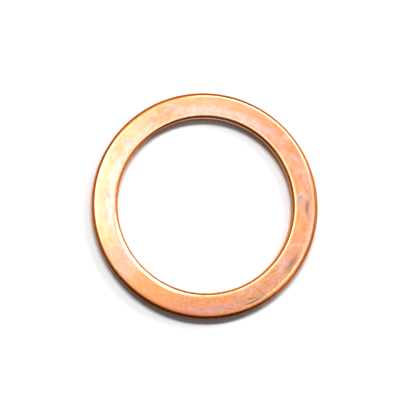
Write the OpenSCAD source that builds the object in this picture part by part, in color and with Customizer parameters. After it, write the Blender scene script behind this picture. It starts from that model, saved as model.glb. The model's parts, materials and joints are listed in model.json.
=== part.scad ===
// Copper exhaust gasket: one strip of copper sheet, folded all the way round into a flat,
// hollow ring, which crushes between the exhaust port and the pipe's flange. A lapped seam
// on the underside closes it. The origin is the ring's centre on the underside, with Z up.

/* [Ring] */
// Outer diameter, which sits in the port's counterbore
outer_d = 44; // [43:0.5:60]
// Diameter of the gas opening
inner_d = 34; // [20:0.5:35]
// Height across the two sealing faces, before the ring is crushed
height = 2.5; // [2.3:0.1:4]

/* [Copper sheet] */
// Thickness of the sheet
sheet_t = 0.3; // [0.2:0.05:0.4]
// Outside radius of the two bends along the outer rim
outer_bend_r = 0.75; // [0.5:0.05:1.1]
// Outside radius of the two bends along the inner rim
inner_bend_r = 0.8; // [0.6:0.05:1.1]

/* [Lapped seam] */
// Flat width of the inner leg, between its bend and its step
foot_w = 0.5; // [0.3:0.1:0.8]
// Radius of the step's two bends, along the middle of the sheet
step_bend_r = 0.3; // [0.3:0.05:0.5]
// Width over which the stepped leg lies on the outer leg
lap_w = 1.2; // [0.6:0.1:1.4]
// Gap left between the two layers of the lap
lap_gap = 0.06; // [0.05:0.01:0.12]

/* [Hidden] */
bend_fn = 64;
ring_fn = 180;
step_facets = 6;

outer_r = outer_d / 2;
inner_r = inner_d / 2;
half_t = sheet_t / 2;

// Where the rims' bends end and the flat faces begin
outer_bend_x = outer_r - outer_bend_r;
inner_bend_x = inner_r + inner_bend_r;

// The step that lifts the inner leg on to the outer leg: two equal arcs, bent opposite ways
step_rise = sheet_t + lap_gap;
step_angle = acos(1 - step_rise / (2 * step_bend_r));
step_start = inner_bend_x + foot_w;
step_end = step_start + 2 * step_bend_r * sin(step_angle);

// Stations along the middle of the stepped leg: radius, height and slope of the sheet
step_stations = [
    [inner_bend_x, half_t, 0],
    for (i = [0 : step_facets])
        let (slope = step_angle * i / step_facets)
            [step_start + step_bend_r * sin(slope), half_t + step_bend_r * (1 - cos(slope)), slope],
    for (i = [step_facets - 1 : -1 : 0])
        let (slope = step_angle * i / step_facets)
            [
                step_end - step_bend_r * sin(slope),
                half_t + step_rise - step_bend_r * (1 - cos(slope)),
                slope
            ],
    [step_end + lap_w, half_t + step_rise, 0]
];

// The point beside a station, on the sheet's upper face (side 1) or its lower face (side -1)
function face_point(station, side) =
    [station.x, station.y] + side * half_t * [-sin(station.z), cos(station.z)];

// A straight stretch of sheet, between its lowest and its highest corner
module flat(low, high)
    polygon([low, [high.x, low.y], high, [low.x, high.y]]);

// A quarter bend: the part of a ring of sheet that lies in the given corner of its centre
module bend(centre, outside_r, corner)
    translate(centre)
        intersection() {
            difference() {
                circle(r = outside_r, $fn = bend_fn);
                circle(r = outside_r - sheet_t, $fn = bend_fn);
            }
            flat(
                [min(corner.x, 0), min(corner.y, 0)] * 2 * outside_r,
                [max(corner.x, 0), max(corner.y, 0)] * 2 * outside_r
            );
        }

// One rim: a wall between two bends. Its side is 1 outside the ring and -1 at the opening
module rim(bend_x, bend_r, side) {
    wall_x = [bend_x + side * bend_r, bend_x + side * (bend_r - sheet_t)];
    bend([bend_x, height - bend_r], bend_r, [side, 1]);
    flat([min(wall_x), bend_r], [max(wall_x), height - bend_r]);
    bend([bend_x, bend_r], bend_r, [side, -1]);
}

module upper_face()
    flat([inner_bend_x, height - sheet_t], [outer_bend_x, height]);

// The outer leg is the underside's sealing face, and ends under the step
module outer_leg()
    flat([step_end, 0], [outer_bend_x, sheet_t]);

// The inner leg steps up, and its end lies on the outer leg
module inner_leg() {
    last = len(step_stations) - 1;
    polygon([
        for (i = [0 : last]) face_point(step_stations[i], -1),
        for (i = [last : -1 : 0]) face_point(step_stations[i], 1)
    ]);
}

module folded_strip() {
    upper_face();
    rim(outer_bend_x, outer_bend_r, 1);
    outer_leg();
    rim(inner_bend_x, inner_bend_r, -1);
    inner_leg();
}

module gasket_ring()
    color("#C8713F")
        rotate_extrude($fn = ring_fn)
            folded_strip();

gasket_ring();
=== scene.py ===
import json
import math
from collections import namedtuple

import bpy
from mathutils import Matrix, Vector


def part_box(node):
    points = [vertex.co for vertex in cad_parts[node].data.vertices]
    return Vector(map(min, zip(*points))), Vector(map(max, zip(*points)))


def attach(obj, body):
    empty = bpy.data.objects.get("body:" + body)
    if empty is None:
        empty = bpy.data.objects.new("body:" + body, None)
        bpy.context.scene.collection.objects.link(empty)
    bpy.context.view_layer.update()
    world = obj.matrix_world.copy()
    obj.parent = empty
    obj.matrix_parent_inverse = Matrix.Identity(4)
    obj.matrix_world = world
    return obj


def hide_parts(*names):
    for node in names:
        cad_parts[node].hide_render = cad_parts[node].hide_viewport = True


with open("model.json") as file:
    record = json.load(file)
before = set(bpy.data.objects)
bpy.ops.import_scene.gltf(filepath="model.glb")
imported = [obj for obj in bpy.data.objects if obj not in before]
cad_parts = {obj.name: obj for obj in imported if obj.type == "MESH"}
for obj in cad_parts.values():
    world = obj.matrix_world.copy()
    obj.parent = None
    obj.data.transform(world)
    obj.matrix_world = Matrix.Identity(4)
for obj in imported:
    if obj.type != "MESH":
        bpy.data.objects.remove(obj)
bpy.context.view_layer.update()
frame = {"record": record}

MM = 0.001

# Sizes of the ring, from the frame
ring_low, ring_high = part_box("gasket_ring")
mounts = {mount["name"]: mount for mount in frame["record"]["mounts"]}
OUTER_R = ring_high.x
INNER_R = mounts["gas_opening"]["dims"]["r_mm"] * MM
MID_R = (OUTER_R + INNER_R) / 2
HEIGHT = ring_high.z - ring_low.z
OUTER_BEND_R = (HEIGHT - mounts["outer_rim"]["dims"]["length_mm"] * MM) / 2
INNER_BEND_R = (HEIGHT - mounts["gas_opening"]["dims"]["length_mm"] * MM) / 2

# The folded sheet, and the lapped seam on the underside
SHEET_T = 0.3 * MM
FOOT_W = 0.5 * MM
STEP_BEND_R = 0.3 * MM
LAP_W = 1.2 * MM
LAP_GAP = 0.06 * MM
EDGE_BEVEL = 0.04 * MM

# How finely the ring is divided: along its skin, along its hidden inner side, and round its axis
SKIN_SPACING = 0.2 * MM
SKIN_BEND_STEPS = 10
HIDDEN_SPACING = 2 * MM
HIDDEN_BEND_STEPS = 4
RING_SEGMENTS = 740

# Points closer than the first are one, and corners that turn more than the second are bevelled
SAME_POINT = 1e-7
SHARP_CORNER = math.radians(60)


# Section of the folded sheet
def arc(centre, radius, start, end, count):
    """Points along an arc in the section's plane, from one angle in degrees to another."""
    angles = [math.radians(start + (end - start) * i / count) for i in range(count + 1)]
    return [
        (centre[0] + radius * math.cos(angle), centre[1] + radius * math.sin(angle))
        for angle in angles
    ]


def joined(*stretches):
    """One run of points out of several, without doubles where they meet."""
    run = []
    for points in stretches:
        for point in points:
            if not run or math.dist(point, run[-1]) > SAME_POINT:
                run.append(point)
    return run


def divided(start, end, spacing):
    """Points along a straight stretch, no further apart than the spacing."""
    count = max(1, math.ceil(math.dist(start, end) / spacing))
    return [
        (start[0] + (end[0] - start[0]) * i / count, start[1] + (end[1] - start[1]) * i / count)
        for i in range(count + 1)
    ]


def strip_side(depth, spacing, bend_count):
    """One side of the folded sheet, a depth inside its outer surface, from the outer leg's
    cut edge round both rims to the end of the lap."""
    outer_x = OUTER_R - OUTER_BEND_R
    inner_x = INNER_R + INNER_BEND_R
    outer_r = OUTER_BEND_R - depth
    inner_r = INNER_BEND_R - depth
    rise = SHEET_T + LAP_GAP
    step_angle = math.degrees(math.acos(1 - rise / (2 * STEP_BEND_R)))
    step_x = inner_x + FOOT_W
    step_end_x = step_x + 2 * STEP_BEND_R * math.sin(math.radians(step_angle))
    lift = SHEET_T / 2 - depth
    step_low = (step_x, SHEET_T / 2 + STEP_BEND_R)
    step_high = (step_end_x, SHEET_T / 2 + rise - STEP_BEND_R)
    return joined(
        divided((step_end_x, depth), (outer_x, depth), spacing),
        arc((outer_x, OUTER_BEND_R), outer_r, -90, 0, bend_count),
        divided((OUTER_R - depth, OUTER_BEND_R), (OUTER_R - depth, HEIGHT - OUTER_BEND_R), spacing),
        arc((outer_x, HEIGHT - OUTER_BEND_R), outer_r, 0, 90, bend_count),
        divided((outer_x, HEIGHT - depth), (inner_x, HEIGHT - depth), spacing),
        arc((inner_x, HEIGHT - INNER_BEND_R), inner_r, 90, 180, bend_count),
        divided((INNER_R + depth, HEIGHT - INNER_BEND_R), (INNER_R + depth, INNER_BEND_R), spacing),
        arc((inner_x, INNER_BEND_R), inner_r, 180, 270, bend_count),
        divided((inner_x, depth), (step_x, depth), spacing),
        arc(step_low, STEP_BEND_R + lift, 270, 270 + step_angle, bend_count // 2),
        arc(step_high, STEP_BEND_R - lift, 90 + step_angle, 90, bend_count // 2),
        divided((step_end_x, rise + depth), (step_end_x + LAP_W, rise + depth), spacing),
    )


def bevelled(outline, size):
    """A closed outline with its sharp corners cut back to small bevels."""
    made = []
    for i, here in enumerate(outline):
        before, after = Vector(outline[i - 1]), Vector(outline[(i + 1) % len(outline)])
        here = Vector(here)
        arriving, leaving = (here - before).normalized(), (after - here).normalized()
        if arriving.angle(leaving) < SHARP_CORNER:
            made.append(tuple(here))
        else:
            made += [tuple(here - arriving * size), tuple(here + leaving * size)]
    return made


def strip_outline():
    """The closed outline of the folded sheet: its outer side, and back along its inner side."""
    outside = strip_side(0, SKIN_SPACING, SKIN_BEND_STEPS)
    inside = strip_side(SHEET_T, HIDDEN_SPACING, HIDDEN_BEND_STEPS)
    return bevelled(outside + inside[::-1], EDGE_BEVEL)


# A mix node's sockets for colours, by their place among its inputs and outputs
MIX_AMOUNT = 0
MIX_FIRST = 6
MIX_SECOND = 7
MIX_RESULT = 2


# Short words for node trees
def feed(tree, socket, source):
    """Set an input to a plain value, or link it to another node's output."""
    if isinstance(source, bpy.types.NodeSocket):
        tree.links.new(source, socket)
    else:
        socket.default_value = source


def maths(tree, operation, *sources):
    """The result of an operation on plain values or other nodes' outputs."""
    node = tree.nodes.new("ShaderNodeMath")
    node.operation = operation
    for socket, source in zip(node.inputs, sources):
        feed(tree, socket, source)
    return node.outputs[0]


def times(tree, first, second):
    """The product of two sources."""
    return maths(tree, "MULTIPLY", first, second)


def added(tree, start, source, share):
    """A start with a share of a source added to it."""
    return maths(tree, "MULTIPLY_ADD", source, share, start)


def above(tree, source, middle):
    """How far a source is above a middle."""
    return maths(tree, "SUBTRACT", source, middle)


def vector_maths(tree, operation, *sources):
    """The result of an operation on vectors, which is a plain number for their length."""
    node = tree.nodes.new("ShaderNodeVectorMath")
    node.operation = operation
    for socket, source in zip(node.inputs, sources):
        feed(tree, socket, source)
    return node.outputs["Value" if operation == "LENGTH" else "Vector"]


def vector_of(tree, x=0.0, y=0.0, z=0.0):
    """A vector put together from three sources."""
    node = tree.nodes.new("ShaderNodeCombineXYZ")
    for socket, source in zip(node.inputs, (x, y, z)):
        feed(tree, socket, source)
    return node.outputs[0]


def noise(tree, where, density, detail, distortion=0.0):
    """Soft noise between nought and one over a place."""
    node = tree.nodes.new("ShaderNodeTexNoise")
    feed(tree, node.inputs["Vector"], where)
    feed(tree, node.inputs["Scale"], density)
    node.inputs["Detail"].default_value = detail
    node.inputs["Distortion"].default_value = distortion
    return node.outputs[0]


def ramp(tree, source, start, end):
    """A soft step from nought to one as the source goes from start to end."""
    node = tree.nodes.new("ShaderNodeMapRange")
    node.interpolation_type = "SMOOTHSTEP"
    feed(tree, node.inputs["Value"], source)
    feed(tree, node.inputs["From Min"], start)
    feed(tree, node.inputs["From Max"], end)
    return node.outputs[0]


def band(tree, source, start, full, end, gone):
    """One between two values, falling softly to nought outside them."""
    return times(tree, ramp(tree, source, start, full), ramp(tree, source, gone, end))


def tint(tree, amount, first, second):
    """A colour that goes from the first to the second by an amount."""
    node = tree.nodes.new("ShaderNodeMix")
    node.data_type = "RGBA"
    feed(tree, node.inputs[MIX_AMOUNT], amount)
    for socket, source in ((MIX_FIRST, first), (MIX_SECOND, second)):
        given = source if isinstance(source, bpy.types.NodeSocket) else (*source, 1)
        feed(tree, node.inputs[socket], given)
    return node.outputs[MIX_RESULT]


# Sweep of the section round the ring
def shrink(tree, where, density, share):
    """A factor of one less up to a share, by soft noise over a place."""
    hollow = noise(tree, where, density, detail=1)
    return maths(tree, "SUBTRACT", 1, times(tree, hollow, share))


def ring_sweep_tree():
    """Geometry nodes that carry a section round the ring's axis, let the pressed face dip a
    little here and there, and let the rims wander slightly inwards."""
    tree = bpy.data.node_groups.new("ring_sweep", "GeometryNodeTree")
    sockets = (
        ("Section", "INPUT", "NodeSocketGeometry"),
        ("Segments", "INPUT", "NodeSocketInt"),
        ("Path Radius", "INPUT", "NodeSocketFloat"),
        ("Face Dip", "INPUT", "NodeSocketFloat"),
        ("Dip Density", "INPUT", "NodeSocketFloat"),
        ("Rim Wander", "INPUT", "NodeSocketFloat"),
        ("Wander Density", "INPUT", "NodeSocketFloat"),
        ("Copper", "INPUT", "NodeSocketMaterial"),
        ("Ring", "OUTPUT", "NodeSocketGeometry"),
    )
    for name, side, kind in sockets:
        tree.interface.new_socket(name, in_out=side, socket_type=kind)
    add, link = tree.nodes.new, tree.links.new
    given = add("NodeGroupInput")
    result = add("NodeGroupOutput")

    path = add("GeometryNodeCurvePrimitiveCircle")
    link(given.outputs["Segments"], path.inputs["Resolution"])
    link(given.outputs["Path Radius"], path.inputs["Radius"])
    upright = add("GeometryNodeSetCurveNormal")
    upright.mode = "Z_UP"
    link(path.outputs["Curve"], upright.inputs["Curve"])

    profile = add("GeometryNodeMeshToCurve")
    link(given.outputs["Section"], profile.inputs["Mesh"])
    sweep = add("GeometryNodeCurveToMesh")
    link(upright.outputs["Curve"], sweep.inputs["Curve"])
    link(profile.outputs["Curve"], sweep.inputs["Profile Curve"])

    place = add("GeometryNodeInputPosition").outputs[0]
    on_floor = vector_maths(tree, "MULTIPLY", place, (1, 1, 0))
    dip = shrink(tree, on_floor, given.outputs["Dip Density"], given.outputs["Face Dip"])
    wander = shrink(tree, on_floor, given.outputs["Wander Density"], given.outputs["Rim Wander"])
    moved = vector_maths(tree, "MULTIPLY", place, vector_of(tree, wander, wander, dip))
    rolled = add("GeometryNodeSetPosition")
    link(sweep.outputs["Mesh"], rolled.inputs["Geometry"])
    link(moved, rolled.inputs["Position"])

    smooth = add("GeometryNodeSetShadeSmooth")
    link(rolled.outputs["Geometry"], smooth.inputs["Geometry"])
    whole = add("GeometryNodeRealizeInstances")
    link(smooth.outputs["Geometry"], whole.inputs["Geometry"])
    finish = add("GeometryNodeSetMaterial")
    link(whole.outputs["Geometry"], finish.inputs["Geometry"])
    link(given.outputs["Copper"], finish.inputs["Material"])
    link(finish.outputs["Geometry"], result.inputs["Ring"])
    return tree


def sheet_section():
    """The folded sheet's outline as a loop of edges, laid out for the sweep."""
    points = strip_outline()
    mesh = bpy.data.meshes.new("sheet_section")
    loop = [(i, (i + 1) % len(points)) for i in range(len(points))]
    mesh.from_pydata([(x - MID_R, -z, 0) for x, z in points[::-1]], loop, [])
    section = bpy.data.objects.new("sheet_section", mesh)
    bpy.context.scene.collection.objects.link(section)
    return section


def swept_ring(material):
    """The folded ring as a plain mesh, swept from its section."""
    section = sheet_section()
    tree = ring_sweep_tree()
    sweep = section.modifiers.new("ring_sweep", "NODES")
    sweep.node_group = tree
    sizes = {
        "Segments": RING_SEGMENTS,
        "Path Radius": MID_R,
        "Face Dip": 0.016,
        "Dip Density": 150.0,
        "Rim Wander": 0.002,
        "Wander Density": 110.0,
        "Copper": material,
    }
    for socket in tree.interface.items_tree:
        if socket.name in sizes:
            sweep[socket.identifier] = sizes[socket.name]
    bpy.context.view_layer.update()
    seen = section.evaluated_get(bpy.context.evaluated_depsgraph_get())
    swept = bpy.data.meshes.new_from_object(seen)
    section.modifiers.clear()
    bpy.data.objects.remove(section)
    ring = bpy.data.objects.new("copper_ring", swept)
    bpy.context.scene.collection.objects.link(ring)
    return ring


# Colours of the copper, its films and its marks, and the painted highlights and painted shade of
# its rims
CLEAN_COPPER = (0.93, 0.37, 0.145)
GRAZING_COPPER = (0.9, 0.5, 0.28)
PALE_FILM = (0.88, 0.53, 0.44)
MILKY_FILM = (0.90, 0.62, 0.60)
ROSY_FILM = (0.86, 0.35, 0.26)
GOLDEN_FILM = (0.96, 0.50, 0.26)
TAN_FILM = (0.76, 0.36, 0.20)
LILAC_FILM = (0.80, 0.40, 0.31)
BROWN_STAIN = (0.36, 0.155, 0.085)
GREY_SCRATCH = (0.32, 0.36, 0.36)
# Painted shade on the bends: darker, redder copper where they mirror dark surroundings and shadowed
# floor, darkest in the south-west
PAINTED_BEND_SHADE = (0.58, 0.16, 0.035)
PAINTED_DEEP_SHADE = (0.34, 0.075, 0.015)
PAINTED_DARKEST_SHADE = (0.07, 0.011, 0.002)
# Painted highlight: a pale copper laid in lines along the bends where the lamps' highlights fall
PAINTED_HIGHLIGHT = (0.95, 0.72, 0.46)
SHADED_EDGE = (0.74, 0.17, 0.06)
# A lit copy of the opening's painted bend shade, used away from the north-east
PAINTED_LIT_BEND = (0.78, 0.26, 0.07)
# Painted light and shade on the walls: shaded copper in the opening's north-east, a paler copper
# towards the north as a painted reflection of the lit floor, and a darker copper as painted shade
# on the outer wall
SHADY_WALL = (0.70, 0.34, 0.21)
PAINTED_LIT_WALL = (0.95, 0.64, 0.50)
PAINTED_SHADE_OUTER_WALL = (0.76, 0.31, 0.18)

# Clouds of film and brown smudges. East is +X and north is +Y. A place on the skin is given as
# degrees round the ring from east, and millimetres across its face from the middle. Each oval
# has its degrees, millimetres across, half length and half width in millimetres, strength, and
# slant in degrees.
PALE_CLOUDS = (
    (3, -0.7, 2.2, 1.0, 0.5, 0),
    (17, 0.8, 2.8, 0.7, 0.6, 0),
    (21, -0.2, 1.6, 0.8, 0.5, -25),
    (28, 0.1, 2.6, 0.6, 0.5, -32),
    (31, -1.1, 2.5, 0.6, 0.5, 0),
    (36, -0.6, 2.5, 0.6, 0.45, 0),
    (39, 0.6, 0.8, 1.6, 0.6, 0),
    (46, 0.3, 1.6, 0.7, 0.4, 0),
    (52, -0.6, 5.0, 1.0, 0.7, 0),
    (70, -0.9, 8.5, 1.0, 0.95, 0),
    (90, -0.9, 6.5, 1.0, 0.9, 0),
    (110, 0.4, 1.7, 0.4, 0.8, -8),
    (120, 0.7, 0.9, 0.5, 0.6, 0),
    (126, -1.1, 3.5, 0.8, 0.7, 0),
    (139, -0.9, 4.0, 1.1, 0.8, 0),
    (142, 0.5, 1.0, 1.3, 0.5, 0),
    (150, 0.5, 1.5, 0.4, 0.4, 0),
    (160, 1.5, 4.5, 0.5, 0.7, 0),
    (161, -1.0, 4.5, 1.3, 1.0, 0),
    (174, 1.5, 5.0, 0.5, 0.5, 0),
    (183, -0.9, 4.2, 1.4, 1.0, 0),
    (197, 0.1, 1.8, 1.1, 0.3, 0),
    (213, -1.3, 3.8, 0.7, 0.8, 0),
    (213, -0.1, 3.6, 1.9, 0.42, 0),
    (264, 0.9, 0.5, 0.3, 0.8, 20),
    (270, 1.2, 0.5, 0.3, 0.8, 0),
    (298, -1.2, 3.0, 0.7, 0.4, 0),
    (322, -0.9, 2.0, 0.8, 0.55, -20),
    (335, -0.5, 1.7, 0.4, 0.4, 45),
    (348, 1.3, 5.0, 0.5, 0.6, 0),
)
MILKY_CLOUDS = (
    (152, -1.6, 3.0, 0.3, 0.5, 0),
    (181, -1.6, 4.5, 0.35, 0.75, 0),
)
ROSY_CLOUDS = (
    (1, -0.6, 1.2, 0.4, 0.5, -20),
    (9, 1.2, 2.6, 0.4, 0.7, -6),
    (30, 0.8, 2.4, 0.6, 0.5, -25),
    (48, 0.2, 4.0, 0.6, 0.35, 0),
    (67, 0.1, 5.0, 0.4, 0.3, 0),
    (113, -0.1, 2.0, 0.7, 0.6, -15),
    (122, -0.2, 1.2, 0.6, 0.6, 10),
    (141, -0.1, 1.0, 0.5, 0.4, 0),
    (172, -0.2, 2.0, 0.4, 0.8, -12),
    (184, 0.0, 4.0, 0.4, 0.6, -5),
    (190, 0.3, 3.0, 0.5, 0.3, 0),
    (213, 0.1, 3.2, 1.6, 0.35, 0),
    (249, 0.4, 1.5, 0.5, 0.4, 0),
    (258, 0.6, 2.0, 0.8, 0.6, 0),
    (262, 1.0, 2.0, 0.6, 0.7, 0),
    (323, 0.3, 5.0, 0.8, 0.5, 0),
    (343, 0.2, 1.2, 0.4, 0.5, 25),
    (352, 1.0, 3.0, 0.5, 0.4, 0),
)
GOLDEN_CLOUDS = (
    (5, 0.1, 0.7, 0.35, 0.6, 30),
    (9, -0.4, 1.3, 0.6, 0.5, 0),
    (34, -0.8, 0.5, 0.4, 0.6, 0),
    (85, 1.0, 8.0, 0.9, 0.85, 0),
    (106, -0.4, 1.5, 0.8, 0.5, -20),
    (131, 0.8, 4.5, 1.1, 1.0, 0),
    (165, 0.7, 6.5, 0.7, 0.75, 0),
    (190, 0.7, 5.0, 0.9, 0.6, 0),
    (200, -0.9, 1.6, 1.0, 0.6, 0),
    (346, -0.9, 1.6, 0.35, 0.6, 0),
    (355, -0.2, 1.0, 0.4, 0.5, 15),
)
TAN_CLOUDS = (
    (-1, 0.6, 3.2, 0.9, 0.85, 0),
    (290, 0.4, 1.6, 0.9, 0.9, 20),
    (299, 0.9, 3.0, 0.8, 1.0, 0),
    (304, -0.4, 3.5, 1.2, 0.2, 0),
    (322, 0.4, 6.5, 2.0, 0.95, 0),
)
LILAC_CLOUDS = (
    (268, 0.9, 2.2, 0.7, 0.7, 0),
    (277, 0.7, 3.0, 0.8, 0.9, 8),
    (286, -0.2, 1.4, 0.5, 0.4, 25),
)
SMUDGES = (
    (-1, 0.25, 1.3, 0.35, 0.75, 0),
    (-13.7, 0.2, 0.35, 0.16, 0.4, 0),
    (-32.5, 0.7, 0.9, 0.22, 0.7, 0),
    (-34, 0.6, 2.0, 0.45, 0.6, 0),
    (-37, 1.0, 0.6, 0.25, 0.45, -25),
    (-58, 0.2, 1.5, 0.09, 0.5, 71),
    (-63.6, 1.28, 1.6, 0.15, 0.95, 2),
    (-64.6, 0.55, 0.6, 0.14, 0.75, 12),
    (-72.5, -1.0, 0.5, 0.15, 0.45, 0),
    (-78, 0.9, 0.9, 0.12, 0.35, 10),
    (8, 0.5, 0.35, 0.16, 0.4, 0),
    (16.8, 2.1, 0.3, 0.2, 0.7, 0),
    (17, 0.0, 0.5, 0.2, 0.3, 30),
    (112, 2.2, 0.3, 0.2, 0.8, 0),
)
CLOUD_SOFTNESS = 0.75
SMUDGE_SOFTNESS = 0.6

# The two strokes of the scratch, with a softness in place of a strength
SCRATCH_STROKES = (
    (4.4, -1.05, 0.75, 0.3, 0.4, 38),
    (2.9, -1.45, 0.8, 0.18, 0.5, 38),
)

# Faint oval lines, with the softness of the line in place of a strength and a slant
COPPER_OVAL = (151.7, 0.45, 1.15, 0.85, 0.25)
PALE_OVAL = (213.2, -0.08, 3.3, 1.64, 0.12)

# Stretches of the ring: the degrees of the middle, half the length in millimetres, and the
# softness of the ends
# Stretches where the rims' painted highlights and painted shade are strongest, earliest or latest
STRONGEST_OPENING_HIGHLIGHT = (226, 11.5, 0.3)
ROLLED_OPENING = (224, 12, 0.4)
SHADY_OPENING = (65, 25, 0.3)
PAINTED_LIT_OPENING_WALL = (89, 9, 0.6)
EARLY_OPENING_BEND = (162, 9, 0.5)
EARLY_SOUTH_EAST_BEND = (-27, 17, 0.4)
EARLY_NORTH_WEST_BEND = (118, 8, 0.5)
LATE_OUTER_BEND = (225, 7, 0.5)
DARKEST_OUTER_BEND = (250, 19, 0.35)
SHADED_OUTER_EDGE = (265, 13, 0.4)
DEEP_SPECKS = (290, 16, 0.6)

# The painted highlight lines' usual strength, and what is added to it along some stretches
HIGHLIGHT_STRENGTH = 0.3
OPENING_HIGHLIGHT_EXTRAS = (
    (*STRONGEST_OPENING_HIGHLIGHT, 0.65),
    (80, 20, 0.4, 0.3),
)
OUTER_HIGHLIGHT_EXTRAS = (
    (48, 12, 0.5, 0.55),
    (-47, 7, 0.4, 0.6),
    (236, 13, 0.35, -0.3),
)

# Places of the painted highlight lines, bends and walls, in millimetres across: where a line
# begins, is full, begins to fade and is gone, and where each of the others begins and is full
OPENING_HIGHLIGHT_PLACE = (-2.2, -2.0, -1.7, -1.5)
OPENING_BEND_HIGHLIGHT_PLACE = (-2.14, -2.02, -1.9, -1.7)
OPENING_BEND = (-1.98, -2.16)
OPENING_WALL = (-2.43, -2.495)
ROLLED_EDGE = (-1.95, -1.25)
OUTER_HIGHLIGHT_PLACE = (1.5, 1.7, 1.85, 2.05)
OUTER_SHADE = (1.0, 1.9)
OUTER_BEND = (1.85, 2.1)
DARKEST_BEND = (2.1, 2.27)
OUTER_SIDE = (2.41, 2.48)

# Densities of the skin's noises for each metre, and the length and width of drawn-out marks in
# millimetres
DRIFT_DENSITY = 420
SWIRL_DENSITY = 500
MOTTLE_DENSITY = 1100
SPECKLE_DENSITY = 2300
RELIEF_DENSITY = 2500
STREAK_SIZE = (1.6, 0.5)
GRAIN_SIZE = (0.3, 0.11)

# How far the clouds' edges wander, in degrees round the ring and in millimetres across it
WANDER_ROUND = 4.5
WANDER_ACROSS = 1.0

# The roughness of clean copper, what grain and film add to it, and that of the scratch
CLEAN_ROUGHNESS = 0.21
GRAIN_ROUGHNESS = 0.06
FILM_ROUGHNESS = 0.04
SCRATCH_ROUGHNESS = 0.5

# Heights of the relief, in millimetres
PRESSED_RELIEF = 0.0045
ROLLED_RELIEF = 0.11

# The specks' factor where their noise is at its middle, and the brightest that a colour may be
SPECKLE_MEAN = 0.985
BRIGHTEST = 0.98

# Degrees turn over at half a turn. The other two ends are never reached.
WRAP_HIGH = (180, 100, 1)
WRAP_LOW = (-180, -100, -1)
MM_PER_DEGREE = math.radians(MID_R / MM)

# More than the skin reaches across the ring on either side, in millimetres
WHOLE_WIDTH = 10

# A point of the skin: where it is in metres, its place as degrees and millimetres across, and
# the millimetres across alone
Skin = namedtuple("Skin", ("where", "place", "across"))


# Places and shapes on the skin
def ring_skin(tree):
    """The points of the ring's skin, for its material's tree."""
    where = tree.nodes.new("ShaderNodeTexCoord").outputs["Object"]
    flat = vector_maths(tree, "MULTIPLY", where, (1 / MM, 1 / MM, 0))
    parts = tree.nodes.new("ShaderNodeSeparateXYZ")
    tree.links.new(flat, parts.inputs[0])
    turn = maths(tree, "DEGREES", maths(tree, "ARCTAN2", parts.outputs["Y"], parts.outputs["X"]))
    across = maths(tree, "SUBTRACT", vector_maths(tree, "LENGTH", flat), MID_R / MM)
    return Skin(where, vector_of(tree, turn, across), across)


def drawn_out(tree, skin, length, width):
    """Coordinates for a noise whose marks are drawn out along the ring, about this many
    millimetres long and wide."""
    heading = vector_maths(tree, "NORMALIZE", vector_maths(tree, "MULTIPLY", skin.where, (1, 1, 0)))
    turns = MID_R / MM / length
    side = vector_of(tree, z=maths(tree, "DIVIDE", skin.across, width))
    return vector_maths(tree, "MULTIPLY_ADD", heading, (turns, turns, 0), side)


def oval_distance(tree, place, degrees, across, half_length, half_width, slant=0.0):
    """How far a point of the skin is from the middle of an oval, with one on the oval's line."""
    offset = vector_maths(tree, "SUBTRACT", place, (degrees, across, 0))
    near = vector_maths(tree, "WRAP", offset, WRAP_HIGH, WRAP_LOW)
    scaled = vector_maths(tree, "MULTIPLY", near, (MM_PER_DEGREE, 1, 1))
    if slant:
        turned = tree.nodes.new("ShaderNodeVectorRotate")
        turned.rotation_type = "Z_AXIS"
        tree.links.new(scaled, turned.inputs["Vector"])
        turned.inputs["Angle"].default_value = math.radians(-slant)
        scaled = turned.outputs[0]
    size = vector_maths(tree, "MULTIPLY", scaled, (1 / half_length, 1 / half_width, 1))
    return vector_maths(tree, "LENGTH", size)


def patch(tree, place, degrees, across, half_length, half_width, softness, slant=0.0):
    """A soft oval patch on the skin, one inside and nought outside, turned by its slant."""
    distance = oval_distance(tree, place, degrees, across, half_length, half_width, slant)
    return ramp(tree, distance, 1 + softness, 1 - softness)


def stretch(tree, skin, degrees, half_length, softness):
    """One along a stretch of the ring, over its whole width, and nought beyond its soft ends."""
    return patch(tree, skin.place, degrees, 0, half_length, WHOLE_WIDTH, softness)


def strongest(tree, place, ovals, softness):
    """The strongest of several soft ovals at each point."""
    amount = 0.0
    for degrees, across, half_length, half_width, strength, slant in ovals:
        oval = patch(tree, place, degrees, across, half_length, half_width, softness, slant)
        amount = maths(tree, "MAXIMUM", amount, times(tree, oval, strength))
    return amount


def clouds(tree, place, ovals, patchiness):
    """The strongest of several clouds at each point, made patchy by a noise."""
    return times(tree, strongest(tree, place, ovals, CLOUD_SOFTNESS), patchiness)


def oval_line(tree, place, degrees, across, half_length, half_width, softness):
    """A thin soft line round an oval on the skin, one on the line and nought beside it."""
    distance = oval_distance(tree, place, degrees, across, half_length, half_width)
    return ramp(tree, maths(tree, "ABSOLUTE", above(tree, distance, 1)), softness, 0)


def swing(tree, source, reach):
    """A noise between nought and one, made to run from minus a reach to a reach."""
    return maths(tree, "MULTIPLY_ADD", source, 2 * reach, -reach)


def wobbled(tree, skin):
    """A place on the skin, shifted by soft noise so that a cloud's edge runs unevenly."""
    elsewhere = vector_maths(tree, "ADD", skin.where, (0.3, 0.1, 0.2))
    drift = swing(tree, noise(tree, skin.where, DRIFT_DENSITY, detail=1), WANDER_ROUND)
    swirl = swing(tree, noise(tree, elsewhere, SWIRL_DENSITY, detail=1), WANDER_ACROSS)
    return vector_maths(tree, "ADD", skin.place, vector_of(tree, drift, swirl))


def highlight_line(tree, skin, across, reach, extras):
    """How strong a painted highlight line is: it lies within its reach across the ring, and is
    stronger or weaker along some stretches."""
    strength = HIGHLIGHT_STRENGTH
    for degrees, half_length, softness, extra in extras:
        strength = added(tree, strength, stretch(tree, skin, degrees, half_length, softness), extra)
    return times(tree, band(tree, across, *reach), strength)


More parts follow.
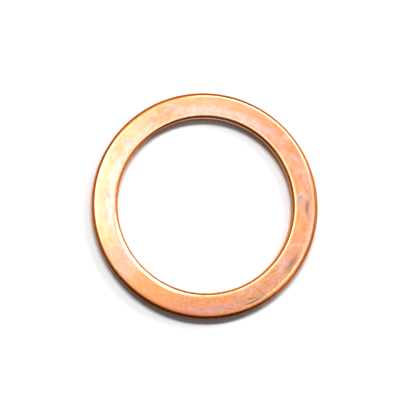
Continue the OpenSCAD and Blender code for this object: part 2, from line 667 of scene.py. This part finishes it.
# Skin of the copper
def filmed_copper(tree, skin):
    """The colour of clean copper under its clouds of film, and how thick the pale film is."""
    loose = wobbled(tree, skin)
    mottle = noise(tree, skin.where, MOTTLE_DENSITY, detail=3)
    streaks = noise(tree, drawn_out(tree, skin, *STREAK_SIZE), 1.0, detail=3, distortion=0.6)
    patchiness = added(tree, 0.4, mottle, 1.2)
    pale = clouds(tree, loose, PALE_CLOUDS, patchiness)
    pale = added(tree, pale, above(tree, streaks, 0.5), 1.1)
    rosy = clouds(tree, loose, ROSY_CLOUDS, patchiness)
    rosy = added(tree, rosy, above(tree, mottle, 0.55), 1.5)

    tan = strongest(tree, skin.place, TAN_CLOUDS, CLOUD_SOFTNESS)
    colour = tint(tree, tan, CLEAN_COPPER, TAN_FILM)
    colour = tint(tree, clouds(tree, loose, GOLDEN_CLOUDS, patchiness), colour, GOLDEN_FILM)
    colour = tint(tree, pale, colour, PALE_FILM)
    colour = tint(tree, rosy, colour, ROSY_FILM)
    colour = tint(tree, clouds(tree, loose, MILKY_CLOUDS, patchiness), colour, MILKY_FILM)
    colour = tint(tree, clouds(tree, loose, LILAC_CLOUDS, patchiness), colour, LILAC_FILM)
    return colour, pale


def opening_tint(tree, skin, colour):
    """The colour with painted light and shade beside the opening: a painted highlight line,
    strongest in the south-west, a bend with painted shade, deepest in the north-east, and a wall
    there with painted shade and a painted reflection of the lit floor, palest in the north. The
    painted shade on the bend begins early in the west."""
    line = highlight_line(tree, skin, skin.across, OPENING_HIGHLIGHT_PLACE, OPENING_HIGHLIGHT_EXTRAS)
    colour = tint(tree, line, colour, PAINTED_HIGHLIGHT)

    shady_part = stretch(tree, skin, *SHADY_OPENING)
    bend_place = added(tree, skin.across, stretch(tree, skin, *EARLY_OPENING_BEND), -0.12)
    bend = tint(tree, shady_part, PAINTED_LIT_BEND, PAINTED_DEEP_SHADE)
    colour = tint(tree, ramp(tree, bend_place, *OPENING_BEND), colour, bend)
    strongest_highlight_part = stretch(tree, skin, *STRONGEST_OPENING_HIGHLIGHT)
    bend_highlight = times(tree, band(tree, skin.across, *OPENING_BEND_HIGHLIGHT_PLACE), strongest_highlight_part)
    colour = tint(tree, bend_highlight, colour, PAINTED_HIGHLIGHT)

    wall_part = times(tree, ramp(tree, skin.across, *OPENING_WALL), shady_part)
    wall = tint(tree, stretch(tree, skin, *PAINTED_LIT_OPENING_WALL), SHADY_WALL, PAINTED_LIT_WALL)
    return tint(tree, wall_part, colour, wall)


def outer_rim_tint(tree, skin, colour):
    """The colour with painted light and shade on the outer rim: a painted highlight line,
    strongest in the north-east and south-east and missing in the south-west, painted shade on the
    edge in the south, a bend with painted shade all round, darkest in the south-west, and an outer
    wall with painted shade. The painted shade on the bend begins early in the south-east and
    north-west, and late in the south-west."""
    south_east = stretch(tree, skin, *EARLY_SOUTH_EAST_BEND)
    north_west = stretch(tree, skin, *EARLY_NORTH_WEST_BEND)
    early_bend = maths(tree, "MAXIMUM", south_east, north_west)
    outwards = added(tree, skin.across, early_bend, 0.2)
    highlight_place = added(tree, outwards, early_bend, 0.1)
    line = highlight_line(tree, skin, highlight_place, OUTER_HIGHLIGHT_PLACE, OUTER_HIGHLIGHT_EXTRAS)
    colour = tint(tree, line, colour, PAINTED_HIGHLIGHT)

    shaded_part = stretch(tree, skin, *SHADED_OUTER_EDGE)
    shade = times(tree, ramp(tree, skin.across, *OUTER_SHADE), shaded_part)
    colour = tint(tree, times(tree, shade, 0.5), colour, SHADED_EDGE)
    bend_place = added(tree, outwards, stretch(tree, skin, *LATE_OUTER_BEND), -0.12)
    colour = tint(tree, ramp(tree, bend_place, *OUTER_BEND), colour, PAINTED_BEND_SHADE)
    darkest_part = stretch(tree, skin, *DARKEST_OUTER_BEND)
    darkest = times(tree, ramp(tree, skin.across, *DARKEST_BEND), darkest_part)
    colour = tint(tree, darkest, colour, PAINTED_DARKEST_SHADE)
    return tint(tree, ramp(tree, skin.across, *OUTER_SIDE), colour, PAINTED_SHADE_OUTER_WALL)


def scratch_amount(tree, skin):
    """One in the two strokes of the grey scratch, and nought beside them."""
    first, second = (patch(tree, skin.place, *stroke) for stroke in SCRATCH_STROKES)
    return maths(tree, "MAXIMUM", first, second)


def marked(tree, skin, colour, scratch):
    """The colour with the brown smudges, the grey scratch and the two faint oval lines."""
    smudges = strongest(tree, skin.place, SMUDGES, SMUDGE_SOFTNESS)
    colour = tint(tree, smudges, colour, BROWN_STAIN)
    colour = tint(tree, scratch, colour, GREY_SCRATCH)
    copper_line = times(tree, oval_line(tree, skin.place, *COPPER_OVAL), 0.5)
    colour = tint(tree, copper_line, colour, CLEAN_COPPER)
    pale_line = times(tree, oval_line(tree, skin.place, *PALE_OVAL), 0.45)
    return tint(tree, pale_line, colour, PALE_FILM)


def speckled(tree, skin, colour):
    """The colour with fine specks, deepest in the south, and kept below full brightness."""
    depth = added(tree, 0.25, stretch(tree, skin, *DEEP_SPECKS), 0.4)
    specks = above(tree, noise(tree, skin.where, SPECKLE_DENSITY, detail=3), 0.5)
    factor = added(tree, SPECKLE_MEAN, specks, depth)
    darkened = vector_maths(tree, "MULTIPLY", colour, factor)
    return vector_maths(tree, "MINIMUM", darkened, (BRIGHTEST,) * 3)


def roughness(tree, skin, film, scratch):
    """Fine grain along the ring, duller under the pale film and dullest in the scratch."""
    grain = noise(tree, drawn_out(tree, skin, *GRAIN_SIZE), 1.0, detail=4)
    rough = added(tree, CLEAN_ROUGHNESS, grain, GRAIN_ROUGHNESS)
    rough = added(tree, rough, film, FILM_ROUGHNESS)
    return maths(tree, "MAXIMUM", rough, times(tree, scratch, SCRATCH_ROUGHNESS))


def relief(tree, skin):
    """The pressed face's unevenness, and the edge that rolls down into the opening's bend in
    the south-west."""
    rolled_part = stretch(tree, skin, *ROLLED_OPENING)
    rolled = times(tree, ramp(tree, skin.across, *ROLLED_EDGE), rolled_part)
    uneven = noise(tree, skin.where, RELIEF_DENSITY, detail=3)
    pressed = times(tree, uneven, PRESSED_RELIEF)
    bump = tree.nodes.new("ShaderNodeBump")
    bump.inputs["Strength"].default_value = 1
    bump.inputs["Distance"].default_value = MM
    feed(tree, bump.inputs["Height"], added(tree, pressed, rolled, ROLLED_RELIEF))
    return bump.outputs["Normal"]


def copper_material():
    """Pressed copper sheet: clean metal under clouds of film, with painted highlights and painted
    shade on the rims, smudges, a scratch, fine specks and a fine grain."""
    material = bpy.data.materials.new("copper_sheet")
    material.use_nodes = True
    tree = material.node_tree
    shader = tree.nodes["Principled BSDF"]
    skin = ring_skin(tree)
    scratch = scratch_amount(tree, skin)
    colour, film = filmed_copper(tree, skin)
    colour = opening_tint(tree, skin, colour)
    colour = outer_rim_tint(tree, skin, colour)
    colour = marked(tree, skin, colour, scratch)
    feed(tree, shader.inputs["Base Color"], speckled(tree, skin, colour))
    feed(tree, shader.inputs["Roughness"], roughness(tree, skin, film, scratch))
    feed(tree, shader.inputs["Normal"], relief(tree, skin))
    shader.inputs["Metallic"].default_value = 1
    shader.inputs["Specular Tint"].default_value = (*GRAZING_COPPER, 1)
    return material


copper = copper_material()
ring = swept_ring(copper)
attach(ring, "root")
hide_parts("gasket_ring")


# Floor and camera
FLOOR_HALF = 1.5
FLOOR_WHITENESS = 0.85
FLOOR_ROUGHNESS = 0.9

# The photo's camera, found from the two rims: it leans to the south-west
CAMERA_DISTANCE = 0.35
CAMERA_TILT = math.radians(10.25)
TILT_AXIS = Vector((1, -1, 0)).normalized()
AIM = Vector((0.557 * MM, -0.459 * MM, HEIGHT / 2))
PICTURE_WIDTH = 416
PIXELS_PER_MM = 5.175
SENSOR_WIDTH = 36


def floor():
    """The white floor that the ring lies on."""
    mesh = bpy.data.meshes.new("floor")
    corners = [(-1, -1), (1, -1), (1, 1), (-1, 1)]
    mesh.from_pydata([(x * FLOOR_HALF, y * FLOOR_HALF, 0) for x, y in corners], [], [(0, 1, 2, 3)])
    material = bpy.data.materials.new("floor_white")
    material.use_nodes = True
    shader = material.node_tree.nodes["Principled BSDF"]
    shader.inputs["Base Color"].default_value = (*(FLOOR_WHITENESS,) * 3, 1)
    shader.inputs["Roughness"].default_value = FLOOR_ROUGHNESS
    mesh.materials.append(material)
    made = bpy.data.objects.new("floor", mesh)
    bpy.context.scene.collection.objects.link(made)


def camera():
    """A camera where the photo's camera stood."""
    seen_width = PICTURE_WIDTH / PIXELS_PER_MM * MM
    data = bpy.data.cameras.new("camera")
    data.sensor_width = SENSOR_WIDTH
    data.lens = SENSOR_WIDTH * CAMERA_DISTANCE / seen_width
    made = bpy.data.objects.new("camera", data)
    made.matrix_world = (
        Matrix.Translation(AIM)
        @ Matrix.Rotation(CAMERA_TILT, 4, TILT_AXIS)
        @ Matrix.Translation((0, 0, CAMERA_DISTANCE))
    )
    bpy.context.scene.collection.objects.link(made)
    bpy.context.scene.camera = made


# Lights that brighten the floor: azimuth and angle from straight up, how wide and deep they look
# from the ring, all in degrees, and the share of the floor's brightness
FLOOR_LIGHTS = (
    ("north_key", 94, 27, 32, 11, 0.73),
    ("north_east_fill", 47, 50, 22, 15, 0.20),
    ("wide_fill", 60, 45, 50, 24, 0.05),
)

# Panels that the copper mirrors: millimetres east, north and up, length and depth in
# millimetres, and brightness. No two are at one height, because lights in one plane hide each
# other where they overlap.
PANELS = (
    ("overhead", -16, 19, 156, 100, 60, 0.73),
    ("overhead_west", -50, 30, 158, 70, 70, 2.7),
    ("north_band", 0, 98, 160, 200, 44, 4.6),
    ("north_west", -90, 80, 162, 90, 70, 1.5),
    ("west_strip", -110, 10, 164, 60, 180, 1.6),
    ("east_box", 96, 64, 166, 44, 44, 6.5),
    ("east", 90, 0, 168, 90, 60, 0.8),
    ("south_east", 110, -70, 170, 120, 60, 2.4),
    ("all_over", 20, 20, 180, 240, 240, 0.6),
)

# Low soft boxes that the copper mirrors: angles as for the floor's lights, and brightness
LOW_BOXES = (
    ("low_east", 30, 62, 60, 24, 2.4),
    ("low_south_east", -18, 60, 44, 22, 1.0),
    ("low_north", 105, 60, 60, 20, 1.3),
    ("low_west", 185, 58, 60, 15, 1.3),
)
LIGHT_DISTANCE = 1.5
ROOM_COLOUR = (0.9, 0.95, 1)
ROOM_BRIGHTNESS = 0.16


def oval_light(name, length, depth, brightness):
    """An oval area light with a face of this brightness."""
    area = math.pi * length * depth / 4
    data = bpy.data.lights.new(name, "AREA")
    data.shape = "ELLIPSE"
    data.size = length
    data.size_y = depth
    data.energy = brightness * math.pi * area
    made = bpy.data.objects.new(name, data)
    bpy.context.scene.collection.objects.link(made)
    return made


def spanned(degrees):
    """How wide a light is that looks this many degrees wide from the ring."""
    return 2 * LIGHT_DISTANCE * math.tan(math.radians(degrees / 2))


def soft_box(name, azimuth, zenith, width, depth, brightness):
    """An oval soft box that faces the ring: where it stands and how wide and deep it looks from
    there, in degrees, and how bright its face is."""
    turn, lean = math.radians(azimuth), math.radians(zenith)
    level = math.sin(lean)
    towards = Vector((level * math.cos(turn), level * math.sin(turn), math.cos(lean)))
    made = oval_light(name, spanned(width), spanned(depth), brightness)
    made.location = towards * LIGHT_DISTANCE
    made.rotation_euler = towards.to_track_quat("Z", "Y").to_euler()
    return made


def floor_light(name, azimuth, zenith, width, depth, share):
    """A soft box for the floor and its shadows, which stays out of the metal's reflections."""
    half_sines = math.sin(math.radians(width / 2)) * math.sin(math.radians(depth / 2))
    facing = math.cos(math.radians(zenith)) * half_sines
    made = soft_box(name, azimuth, zenith, width, depth, share / (FLOOR_WHITENESS * facing))
    made.visible_glossy = False


def mirrored(light):
    """Keep a light for the metal's reflections alone."""
    light.visible_diffuse = False
    light.visible_camera = False


def panel(name, east, north, up, length, depth, brightness):
    """An oval panel level above the ring, which only the copper mirrors."""
    made = oval_light(name, length * MM, depth * MM, brightness)
    made.location = (east * MM, north * MM, up * MM)
    mirrored(made)


def room():
    """The dim pale room round the floor."""
    world = bpy.data.worlds.new("room")
    world.use_nodes = True
    background = world.node_tree.nodes["Background"]
    background.inputs["Color"].default_value = (*ROOM_COLOUR, 1)
    background.inputs["Strength"].default_value = ROOM_BRIGHTNESS
    bpy.context.scene.world = world


floor()
camera()
for row in FLOOR_LIGHTS:
    floor_light(*row)
for row in PANELS:
    panel(*row)
for row in LOW_BOXES:
    mirrored(soft_box(*row))
room()
bpy.context.scene.view_settings.view_transform = "Standard"
